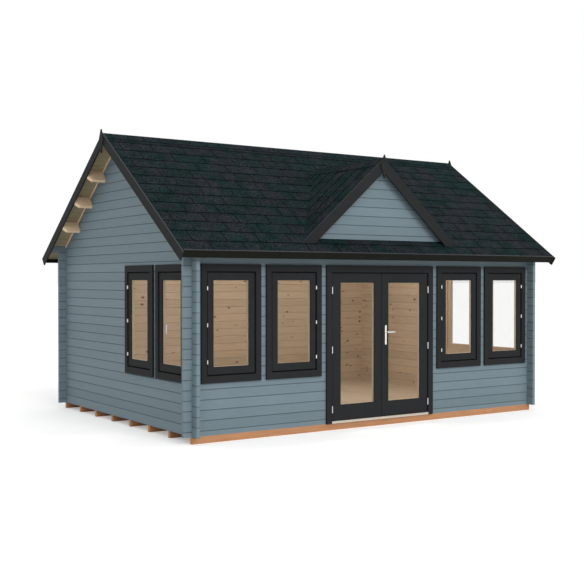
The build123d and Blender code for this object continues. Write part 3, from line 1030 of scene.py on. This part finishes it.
@dataclass
class ShingleRoof:
    """Courses of shingle tabs on both roofs, with folded caps over the ridges."""

    palette: Palette
    exposure: float = 0.2
    overlap: float = 0.035
    tab: float = 0.433
    narrowest: float = 0.02
    stagger: float = 0.11
    wander: float = 0.0015
    slot: float = 0.007
    # slot_band, slot_shade and lap_band, with cap_band and cap_shade, size and set the painted
    # shade beside slots, at tab edges and at cap lips.
    slot_band: float = 0.010
    slot_shade: float = 0.85
    lap_band: float = 0.013
    upper_depth: float = 0.0108
    proud: float = 0.0005
    lift: Point = (-0.0003, 0.0006)
    butt: float = 0.0042
    felt: Point = (0.0113, 0.0119)
    cap_width: float = 0.14
    cap_exposure: float = 0.217
    cap_band: float = 0.012
    cap_shade: float = 0.9
    cap_tilt: float = 0.0016
    cap_tops: Point = (0.0006, 0.0016)
    cap_bottoms: Point = (0.0056, 0.0058)
    seed: int = 11

    def tab_on(self, draft: MeshDraft, slope: Slope, run: Point, low: float,
               dice: random.Random) -> None:
        """One tab: a thin wedge with painted shade in a band at its lower edge and in a band beside
        its slot.

        Args:
            draft: Where it is added.
            slope: The slope it lies on.
            run: Its two sides.
            low: Its lower edge, down the slope.
            dice: The random draws.
        """
        tone = dice.random()
        low += dice.uniform(-self.wander, self.wander)
        high = max(low - self.exposure - self.overlap, 0.0)
        tops = (self.upper_depth, SIZES.recess - self.proud - dice.uniform(*self.lift))
        bottoms = (self.felt[1], tops[1] + self.butt)
        edge, side = max(low - self.lap_band, high), run[0] + self.slot_band
        # Painted shade: the band beside the slot and the band at the lower edge are darkened.
        for runs, rows, lap_shade in (((side, run[1]), (high, edge), 0.0),
                                ((run[0], side), (high, edge), self.slot_shade),
                                (run, (edge, low), 1.0)):
            if runs[1] > runs[0] and rows[1] > rows[0]:
                slope.flake(draft, runs, rows, tops, bottoms, (high, low), tone, lap_shade)

    def cover(self, name: str, slope: Slope, runs: Point, length: float, replaces: str,
              dice: random.Random) -> None:
        """All courses of one slope, over a dark felt that shows in the slots and also carries the
        full painted shade.

        Args:
            name: The piece's name.
            slope: The slope.
            runs: Where the courses start and end along the ridge.
            length: Length of the slope.
            replaces: The plain sheet that the courses stand for.
            dice: The random draws.
        """
        draft = MeshDraft()
        (top, bottom), rows = self.felt, (0.0, length)
        # The felt carries the full painted shade.
        slope.flake(draft, runs, rows, (top, top), (bottom, bottom), rows, 0.5, 1.0)
        for course in range(math.ceil((length - self.overlap) / self.exposure)):
            low = length - course * self.exposure
            start = runs[0] - (self.tab / 2 if course % 2 else 0.0) - dice.uniform(0, self.stagger)
            while start < runs[1]:
                left, right = max(start, runs[0]), min(start + self.tab - self.slot, runs[1])
                if right - left > self.narrowest:
                    self.tab_on(draft, slope, (left, right), low, dice)
                start += self.tab
        draft.piece(name, self.palette.shingle, Body.HOUSE, Slot.SHINGLE, [replaces])

    def caps(self, name: str, slopes: Sequence[Slope], runs: Point, replaces: str,
             dice: random.Random, edge: float) -> None:
        """Folded caps that overlap along a ridge, with painted shade at each lip and along the long
        edges.

        Args:
            name: The piece's name.
            slopes: The two slopes that meet there.
            runs: Where the caps start and end along the ridge.
            replaces: The plain strip that they stand for.
            dice: The random draws.
            edge: How much painted shade darkens the caps' long edges.
        """
        draft = MeshDraft()
        start, inner = runs[1], self.cap_width - self.cap_band
        while start > runs[0]:
            tone = dice.random()
            end, lip = max(start - self.cap_exposure, runs[0]), start - self.cap_band
            for slope in slopes:
                for u0, u1, lap_shade in ((end, lip, 0.0), (max(lip, end), start, self.cap_shade)):
                    lift = self.cap_tilt * (start - 0.5 * (u0 + u1)) / self.cap_exposure
                    tops = (self.cap_tops[0] + lift, self.cap_tops[1] + lift)
                    # Painted shade: the lip and the long edges of each cap are darkened.
                    for rows, shade in (((0.0, inner), lap_shade), ((inner, self.cap_width), edge)):
                        slope.flake(draft, (u0, u1), rows, tops, self.cap_bottoms, rows, tone,
                                    shade)
            start -= self.cap_exposure
        draft.piece(name, self.palette.shingle, Body.HOUSE, Slot.SHINGLE, [replaces])

    def build(self) -> None:
        """Makes the courses and caps of both roofs."""
        dice = random.Random(self.seed)
        main = {side: Slope.main(side) for side in (-1, 1)}
        gablet = {side: Slope.gablet(side) for side in (-1, 1)}
        wide = (-SIZES.x_roof, SIZES.x_roof)
        for side, word in ((-1, "front"), (1, "back")):
            self.cover(f"shingle_courses_{word}", main[side], wide, SIZES.slab,
                       f"shingles_{word}", dice)
        front = SIZES.y_out + SIZES.gablet_overhang - SIZES.board
        back = (SIZES.ridge - SIZES.gablet_ridge) / math.tan(SIZES.pitch)
        foot = SIZES.gablet_rise / math.sin(SIZES.gablet_pitch)
        for side, word in ((-1, "left"), (1, "right")):
            self.cover(f"shingle_courses_gablet_{word}", gablet[side].turned(back), (0.0, foot),
                       front - back, f"gablet_shingles_{word}", dice)
        self.caps("ridge_caps", list(main.values()), wide, "ridge_shingles", dice, 0.5)
        self.caps("gablet_ridge_caps", list(gablet.values()), (back, front),
                  "gablet_ridge_shingles", dice, 0.2)


@dataclass
class Boarding:
    """Boards with chamfered edges: under the shingles and on the floor."""

    palette: Palette
    cover: float = 0.0967
    chamfer: float = 0.003
    gap: float = 0.0006
    narrowest: float = 0.01
    floor_thickness: float = 0.019
    floor_chamfer: float = 0.0015

    def sections(self, span: Point, cover: float, levels: Point,
                 cut: float) -> Iterator[list[Point]]:
        """The section of each board, side by side.

        Args:
            span: Where the first board starts and the last one ends.
            cover: What one board covers.
            levels: Level of the plain side, and of the side with chamfered edges.
            cut: The chamfer.

        Yields:
            A board's corners.
        """
        (start, stop), (plain, face) = span, levels
        while start < stop - self.narrowest:
            end = min(start + cover, stop) - self.gap
            yield [(start, plain), (end, plain), (end, face - cut), (end - cut, face),
                   (start + cut, face), (start, face - cut)]
            start += cover

    def roof(self, side: int, word: str) -> None:
        """The boards of one main slope, chamfered on their underside.

        Args:
            side: -1 for the front, 1 for the back.
            word: The side's name.
        """
        draft, slope = MeshDraft(), Slope.main(side)
        for section in self.sections((0.0, SIZES.slab), self.cover,
                                     (SIZES.boards_top, SIZES.boards_bottom), self.chamfer):
            draft.loft(slope.bar(section, (-SIZES.x_roof, SIZES.x_roof)))
        draft.piece(f"roof_boards_under_{word}", self.palette.roof_boards, Body.HOUSE, Slot.PINE,
                    [f"roof_boards_{word}"])

    def floor(self) -> None:
        """Floor boards from front to back, chamfered along their upper edges."""
        draft = MeshDraft()
        levels = (SIZES.base, SIZES.base + self.floor_thickness)
        for section in self.sections((-SIZES.x_in, SIZES.x_in), SIZES.floor_cover, levels,
                                     self.floor_chamfer):
            draft.loft([[Vector((x, y, z)) for x, z in section] for y in (-SIZES.y_in, SIZES.y_in)])
        draft.piece("floor_planks", self.palette.floor, Body.HOUSE, Slot.PINE, ["floor_boards"])

    def build(self) -> None:
        """Makes the boards of both main slopes and the floor."""
        for side, word in ((-1, "front"), (1, "back")):
            self.roof(side, word)
        self.floor()


@dataclass
class GableBattens:
    """Thin pine strips that close the joint of gable wall and roof boards between the purlins."""

    palette: Palette
    height: float = 0.020
    thickness: float = 0.010
    gap: float = 0.0005
    soften: float = 0.001
    first_purlin: float = 0.682
    spacing: float = 0.533
    purlin: float = 0.045
    purlins: int = 3

    def build(self) -> None:
        """Makes the strips of both gables."""
        stops = [0.0]
        for number in range(self.purlins):
            start = self.first_purlin + number * self.spacing
            stops += [start, start + self.purlin]
        stops.append(SIZES.y_out / math.cos(SIZES.pitch))
        top = SIZES.boards_bottom
        draft = MeshDraft()
        for end in (-1, 1):
            for side in (-1, 1):
                for start, stop in zip(stops[::2], stops[1::2]):
                    high, low = start + self.gap, stop - self.gap
                    section = [(high, top), (low, top), (low, top + self.height),
                               (high, top + self.height)]
                    draft.loft(Slope.main(side).bar(section, (
                        end * SIZES.x_out, end * (SIZES.x_out + self.thickness))))
        # The strips wear the purlins' pine, with its painted light.
        draft.piece("gable_top_battens", self.palette.purlin, Body.HOUSE, Slot.PINE,
                    soften=self.soften)


@dataclass
class Glazing:
    """Black seals outside each pane, and the pine beads that hold it from inside.

    Seal and bead are given by width and depth, and the window by width and height. Trims and
    sash are given by their width at the sides and their width at the top.
    """

    palette: Palette
    seal: Point = (0.004, 0.003)
    bead: Point = (0.008, 0.0295)
    bead_chamfer: float = 0.004
    pane_depth: float = 0.008
    pane: float = 0.004
    window: Point = (0.776, 1.321)
    window_trim: Point = (0.084, 0.094)
    sash: Point = (0.075, 0.082)
    front_windows: tuple[float, ...] = (-2.151, -1.304, 1.304, 2.151)
    gable_windows: tuple[float, ...] = (-1.419, -0.567)
    half_doorway: float = 0.842
    door_trim: Point = (0.078, 0.085)
    rebate: float = 0.012
    leaf_foot: float = 0.033
    half_meeting_gap: float = 0.003
    lock_stile: float = 0.110
    hinge_stile: float = 0.125
    bottom_rail: float = 0.182
    top_rail: float = 0.110

    def around(self, draft: MeshDraft, centre: Vector, across: Vector, out: Vector, half: Point,
               profile: Sequence[Point]) -> None:
        """A mitred strip round one opening.

        Args:
            draft: Where it is added.
            centre: Middle of the opening on the pane's face.
            across: Direction to the side.
            out: Direction away from the pane.
            half: Half the opening's width and height.
            profile: The strip's section, as distances from the opening's edge and from the pane.
        """
        rings = [[centre + across * (i * (half[0] - inset)) + UP * (j * (half[1] - inset))
                  + out * lift for i, j in ((-1, -1), (1, -1), (1, 1), (-1, 1))]
                 for inset, lift in profile]
        draft.loft(rings + [rings[0]], caps=False)

    def glaze(self, name: str, body: Body, places: Sequence[tuple[Vector, Vector, Vector]],
              half: Point) -> None:
        """Seals and beads of openings of one size.

        Args:
            name: What the pieces' names start with.
            body: The body that they ride on.
            places: Middle of each opening on the wall's plane, direction across and outwards.
            half: Half the opening's width and height.
        """
        seals, beads = MeshDraft(), MeshDraft()
        width, depth = self.seal
        seal = ((0.0, 0.0), (0.0, depth), (width, depth * 0.4), (width, 0.0))
        wide, deep = self.bead
        cut = self.bead_chamfer
        bead = ((0.0, 0.0), (0.0, deep), (wide - cut, deep), (wide, deep - cut), (wide, 0.0))
        outside = -SIZES.leaf_face - self.pane_depth
        for centre, across, out in places:
            self.around(seals, centre + out * outside, across, out, half, seal)
            self.around(beads, centre + out * (outside - self.pane), across, -out, half, bead)
        seals.piece(f"{name}_seals", self.palette.rubber, body, Slot.DARK)
        beads.piece(f"{name}_beads", self.palette.bead, body, Slot.PINE)

    def windows(self) -> None:
        """Glazes the eight windows."""
        sight = tuple((size - 2 * trim - 2 * sash) / 2 for size, trim, sash
                      in zip(self.window, self.window_trim, self.sash))
        middle = SIZES.base + SIZES.opening_top - self.window[1] / 2
        places = [(Vector((x, -SIZES.y_out, middle)), RIGHT, -BACK) for x in self.front_windows]
        places += [(Vector((end * SIZES.x_out, y, middle)), BACK, RIGHT * end)
                   for end in (-1, 1) for y in self.gable_windows]
        self.glaze("window", Body.HOUSE, places, sight)

    def leaves(self) -> None:
        """Glazes the two leaves."""
        head = SIZES.opening_top - self.door_trim[1] - self.rebate - self.top_rail
        foot = self.leaf_foot + self.bottom_rail
        inner = self.half_meeting_gap + self.lock_stile
        outer = self.half_doorway - self.door_trim[0] - self.rebate - self.hinge_stile
        for side, body in ((-1, Body.LEFT_LEAF), (1, Body.RIGHT_LEAF)):
            centre = Vector((side * (inner + outer) / 2, -SIZES.y_out,
                             SIZES.base + (foot + head) / 2))
            self.glaze(body.value, body, [(centre, RIGHT, -BACK)],
                       ((outer - inner) / 2, (head - foot) / 2))

    def build(self) -> None:
        """Glazes the windows and the leaves."""
        self.windows()
        self.leaves()


@dataclass
class DoorFurniture:
    """The shaped lever, its spindle, the profile cylinder and the plate screws.

    The plates are given by their faces outside and inside, cylinder and screw by radius and
    height, the cylinder's web by half its width and height, and the screws by where they are.
    """

    palette: Palette
    x: float = 0.066
    height: float = 1.158
    plates: Point = (-1.914, -1.856)
    reach: float = 0.113
    standoff: float = 0.042
    straight: float = 0.62
    radius: float = 0.008
    neck: float = 0.92
    flatness: float = 0.72
    spindle: float = 0.005
    cylinder: Point = (0.0085, 0.004)
    cylinder_drop: float = 0.072
    web: Point = (0.005, 0.008)
    web_drop: float = 0.016
    screw: Point = (0.004, 0.0018)
    screws: Point = (1.014, 1.231)
    sides: int = 12
    smooth: float = 35.0

    def ring(self, centre: Vector, level: Vector, width: float, height: float) -> list[Vector]:
        """An upright oval ring of points.

        Args:
            centre: Its middle.
            level: Its level axis.
            width: Half its width, along that axis.
            height: Half its height.

        Returns:
            The points.
        """
        turns = [2 * math.pi * k / self.sides for k in range(self.sides)]
        return [centre + level * (width * math.cos(t)) + UP * (height * math.sin(t)) for t in turns]

    def grip(self, draft: MeshDraft, plate: float, out: float) -> None:
        """One lever: a round neck that bends into a flattened grip with a rounded end.

        Args:
            draft: Where it is added.
            plate: The plate's face, along Y.
            out: -1 outside, 1 inside.
        """
        foot = Vector((self.x, plate, self.height))
        bend = self.standoff * (1 - self.straight)
        rings = []
        for share, size in ((0.0, 1.0), (0.35, self.neck), (self.straight, self.neck)):
            spot = foot + BACK * (out * self.standoff * share)
            rings.append(self.ring(spot, RIGHT, self.radius * size, self.radius * size))
        for turn in (30, 60, 90):
            angle = math.radians(turn)
            forward = out * (self.standoff * self.straight + bend * math.sin(angle))
            spot = foot + Vector((bend * (1 - math.cos(angle)), forward, 0))
            level = Vector((math.cos(angle), -out * math.sin(angle), 0))
            rings.append(self.ring(spot, level, self.radius * (self.neck - 0.002 * turn),
                                   self.radius))
        for share, taper in ((0.3, 1.0), (0.6, 1.0), (0.85, 0.98), (0.97, 0.8), (1.0, 0.35)):
            along = bend + share * (self.reach + self.radius - bend)
            spot = foot + Vector((along, out * self.standoff, 0))
            rings.append(self.ring(spot, BACK * -out, self.radius * self.flatness * taper,
                                   self.radius * taper))
        draft.loft(rings)

    def disc(self, draft: MeshDraft, centre: Vector, size: Point, out: float) -> None:
        """A round disc with an eased edge, standing on a plate.

        Args:
            draft: Where it is added.
            centre: Its middle on the plate.
            size: Its radius and height.
            out: The side that it stands out to, along Y.
        """
        radius, thick = size
        draft.loft([self.ring(centre + BACK * (out * thick * rise), RIGHT, radius * share,
                              radius * share)
                    for share, rise in ((1.0, 0.0), (1.0, 0.7), (0.93, 0.93), (0.8, 1.0))])

    def levers(self) -> None:
        """Makes the lever outside, the lever inside and the spindle between them."""
        draft = MeshDraft()
        for plate, out in zip(self.plates, (-1.0, 1.0)):
            self.grip(draft, plate, out)
        draft.loft([self.ring(Vector((self.x, plate, self.height)), RIGHT, self.spindle,
                              self.spindle) for plate in self.plates])
        draft.piece("lever_handles", self.palette.silver, Body.LEVER, Slot.SILVER, ["door_lever"],
                    smooth=self.smooth)

    def fittings(self) -> None:
        """Makes the lock cylinder and the screws on both plates."""
        draft = MeshDraft()
        half, tall = self.web
        for plate, out in zip(self.plates, (-1.0, 1.0)):
            low = Vector((self.x, plate, self.height - self.cylinder_drop))
            self.disc(draft, low, self.cylinder, out)
            near, far = sorted((0.0, out * self.cylinder[1]))
            plan = ((-half, near), (half, near), (half, far), (-half, far))
            draft.loft([[low + Vector((x, y, z - self.web_drop)) for x, y in plan]
                        for z in (-tall, tall)])
            for z in self.screws:
                self.disc(draft, Vector((self.x, plate, z)), self.screw, out)
        draft.piece("lock_cylinder_and_screws", self.palette.silver, Body.RIGHT_LEAF, Slot.SILVER,
                    smooth=self.smooth)

    def build(self) -> None:
        """Makes the levers, and the fittings on the plates."""
        self.levers()
        self.fittings()


class Dressing:
    """Gives every CAD node that still shows its finish."""

    def __init__(self, palette: Palette) -> None:
        """Lists what each node wears.

        Args:
            palette: The materials.
        """
        self.wears = (
            (palette.treated, ("floor_bearers",)),
            (palette.long_wall, ("front_wall_left", "front_wall_right", "front_wall_over_door",
                                 "front_top_log", "back_wall", "back_top_log")),
            (palette.gable_wall, ("left_gable_wall", "right_gable_wall")),
            (palette.gablet, ("gablet_face",)),
            (palette.purlin, ("roof_purlins",)),
            (palette.roof_boards, ("gablet_boards_left", "gablet_boards_right")),
            (palette.fascia, ("fascia_front", "fascia_back")),
            (palette.dark_along_y, ("barge_board_left_back", "barge_board_left_front",
                                    "barge_board_right_back", "barge_board_right_front",
                                    "gable_finials")),
            (palette.dark_along_x, ("gablet_barge_left", "gablet_barge_right", "gablet_finial")),
            (palette.joinery, ("window_frames", "window_sashes", "door_frame", "left_door_leaf",
                               "right_door_leaf")),
            (palette.glass, ("window_glass", "left_door_glass", "right_door_glass")),
            (palette.silver, ("window_hinges", "window_handles", "door_frame_hinges",
                              "left_door_hinges", "right_door_hinges", "handle_backplates")),
            (palette.sill, ("door_threshold",)),
        )

    def build(self) -> None:
        """Puts the materials on the nodes."""
        for material, names in self.wears:
            for name in names:
                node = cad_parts[name]
                node.data.materials.clear()
                node.data.materials.append(material)
                LOG.info("%s wears %s", name, material.name)


@dataclass
class Studio:
    """A pale floor, soft light and the camera. Angles are in degrees."""

    sky: float = 0.82
    sun: float = 1.2
    sun_angle: float = 30.0
    sun_tilt: float = 58.0
    room_lamp: float = 61.0
    room_size: Point = (4.2, 0.7)
    room_height: float = 3.1
    floor_reach: float = 400.0
    floor_light: float = 0.28
    spot: tuple[float, float, float] = (-7.7632, -11.5164, 1.8079)
    turn: tuple[float, float, float] = (89.294, 0.0, -33.778)
    lens: float = 61.11
    sensor: float = 36.0
    clip: float = 2000.0

    @staticmethod
    def background_rays(tree: bpy.types.NodeTree) -> Socket:
        """1 for the rays that show the background: straight, in a gloss and through glass.

        Args:
            tree: The node tree that asks.

        Returns:
            The mask.
        """
        rays = tree.nodes.new("ShaderNodeLightPath")
        mask = rays.outputs["Is Camera Ray"]
        for kind in ("Is Glossy Ray", "Is Transmission Ray"):
            either = tree.nodes.new("ShaderNodeMath")
            either.operation = "MAXIMUM"
            tree.links.new(mask, either.inputs[0])
            tree.links.new(rays.outputs[kind], either.inputs[1])
            mask = either.outputs[0]
        return mask

    def floor(self) -> None:
        """A large pale floor, brighter to the camera, that keeps the house's shadow."""
        mesh = bpy.data.meshes.new("studio_floor")
        reach = self.floor_reach
        mesh.from_pydata([(x * reach, y * reach, 0) for x, y in
                          ((-1, -1), (1, -1), (1, 1), (-1, 1))], [], [(0, 1, 2, 3)])
        made = bpy.data.objects.new("studio_floor", mesh)
        bpy.context.scene.collection.objects.link(made)
        sheet = NodeSheet("pale_floor")
        seen = self.background_rays(sheet.tree)
        cloud = sheet.noise(sheet.position, 0.4, 3.0)
        sheet.plug(sheet.shader.inputs["Base Color"],
                   sheet.mix(cloud, srgb((238, 238, 237)), srgb((243, 243, 242))))
        sheet.shader.inputs["Roughness"].default_value = 0.9
        sheet.shader.inputs["Specular IOR Level"].default_value = 0.0
        sheet.shader.inputs["Emission Color"].default_value = WHITE
        sheet.plug(sheet.shader.inputs["Emission Strength"],
                   sheet.math("MULTIPLY", seen, self.floor_light))
        mesh.materials.append(sheet.material)

    def world(self) -> None:
        """Even pale light from all round, white where it is seen."""
        world = bpy.data.worlds.new("studio_sky")
        world.use_nodes = True
        tree = world.node_tree
        plain = tree.nodes["Background"]
        plain.inputs["Color"].default_value = WHITE
        plain.inputs["Strength"].default_value = self.sky
        white = tree.nodes.new("ShaderNodeBackground")
        white.inputs["Color"].default_value = WHITE
        mixer = tree.nodes.new("ShaderNodeMixShader")
        for socket, source in zip(mixer.inputs, (self.background_rays(tree), plain.outputs[0],
                                                 white.outputs[0])):
            tree.links.new(source, socket)
        tree.links.new(mixer.outputs[0], tree.nodes["World Output"].inputs[0])
        bpy.context.scene.world = world

    def lamps(self) -> None:
        """A soft white key from the front, and a soft white lamp under the ridge."""
        key = bpy.data.lights.new("key", "SUN")
        key.energy = self.sun
        key.angle = math.radians(self.sun_angle)
        lamp = bpy.data.objects.new("key", key)
        lamp.rotation_euler = (math.radians(self.sun_tilt), 0, 0)
        room = bpy.data.lights.new("room", "AREA")
        room.shape = "RECTANGLE"
        room.size, room.size_y = self.room_size
        room.energy = self.room_lamp
        ceiling = bpy.data.objects.new("room", room)
        ceiling.location = (0, 0, self.room_height)
        ceiling.visible_camera = ceiling.visible_glossy = False
        for made in (lamp, ceiling):
            bpy.context.scene.collection.objects.link(made)

    def camera(self) -> None:
        """The camera, where the photograph was taken from."""
        data = bpy.data.cameras.new("camera")
        data.lens, data.sensor_width, data.clip_end = self.lens, self.sensor, self.clip
        made = bpy.data.objects.new("camera", data)
        made.location = self.spot
        made.rotation_euler = [math.radians(value) for value in self.turn]
        bpy.context.scene.collection.objects.link(made)
        bpy.context.scene.camera = made

    def build(self) -> None:
        """Sets up the studio."""
        self.camera()
        self.floor()
        self.world()
        self.lamps()
        bpy.context.scene.view_settings.view_transform = "Standard"


def main() -> None:
    """Builds the looks around the frame."""
    logging.basicConfig(level=logging.INFO, format="%(name)s: %(message)s")
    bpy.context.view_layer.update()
    Studio().build()
    palette = Palette()
    Dressing(palette).build()
    for part in (ShingleRoof(palette), Boarding(palette), GableBattens(palette), Glazing(palette),
                 DoorFurniture(palette)):
        part.build()
    bpy.context.view_layer.update()
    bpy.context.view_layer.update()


if __name__ == "__main__":
    main()
